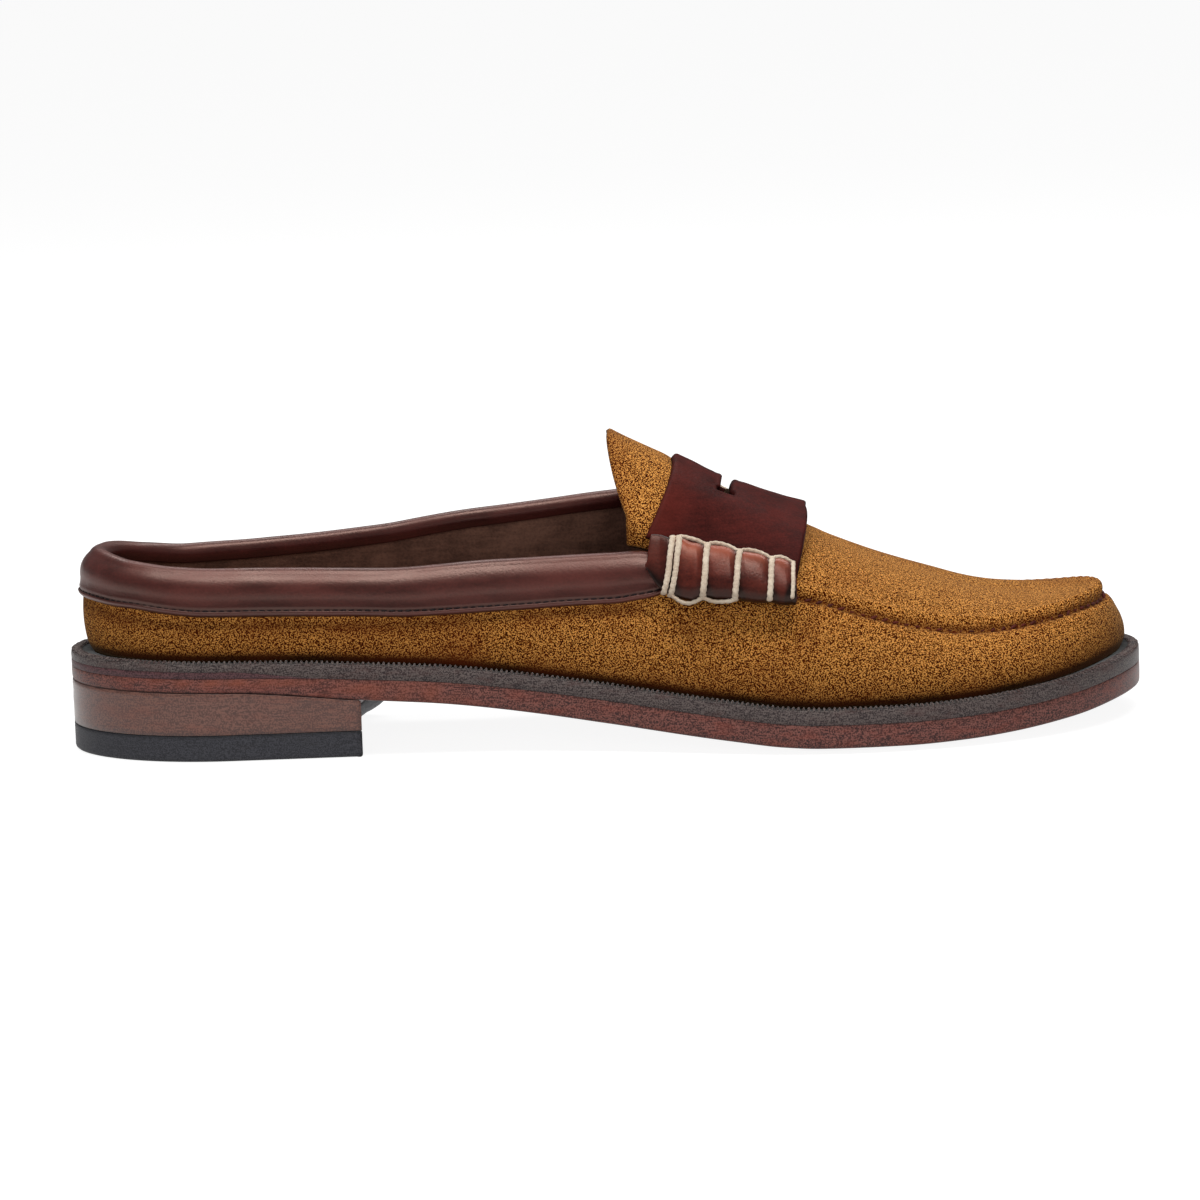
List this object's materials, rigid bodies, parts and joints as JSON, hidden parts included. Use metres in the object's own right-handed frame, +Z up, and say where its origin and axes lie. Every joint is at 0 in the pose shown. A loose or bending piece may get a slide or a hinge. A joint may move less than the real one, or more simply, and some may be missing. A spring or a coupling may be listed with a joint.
{
  "type": "loafer",
  "caption": "Low-backed suede penny loafer for the right foot, with a slotted saddle strap rolled at both ends, leather collar binding, welted leather sole and stacked heel.",
  "frame": {"origin": "on the floor under the middle of the shoe's bounding box", "axes": "+X towards the toe, +Y towards the inner (medial) side of the foot, +Z up"},
  "size_m": [0.298, 0.106, 0.0836],
  "materials": {
    "sole_leather": "edge-dyed sole leather, half matt",
    "welt_leather": "dark dyed leather with a wheeled top",
    "rand_leather": "dark purple-brown leather, half matt",
    "stack_leather": "stacked leather, edge-dyed and waxed",
    "lift_rubber": "matt black rubber",
    "insole_leather": "dark brown lining leather, matt",
    "suede": "golden tobacco suede with a short nap",
    "burgundy_leather": "smooth burgundy leather, lightly polished"
  },
  "bodies": {
    "root": {"outsole": "sole_leather", "welt": "welt_leather", "heel_rand": "rand_leather", "heel_stack": "stack_leather", "top_lift": "lift_rubber", "insole": "insole_leather", "upper": "suede", "tongue": "suede", "saddle": "burgundy_leather", "beef_roll_lateral": "burgundy_leather", "beef_roll_medial": "burgundy_leather", "collar_binding": "burgundy_leather"}
  },
  "joints": []
}
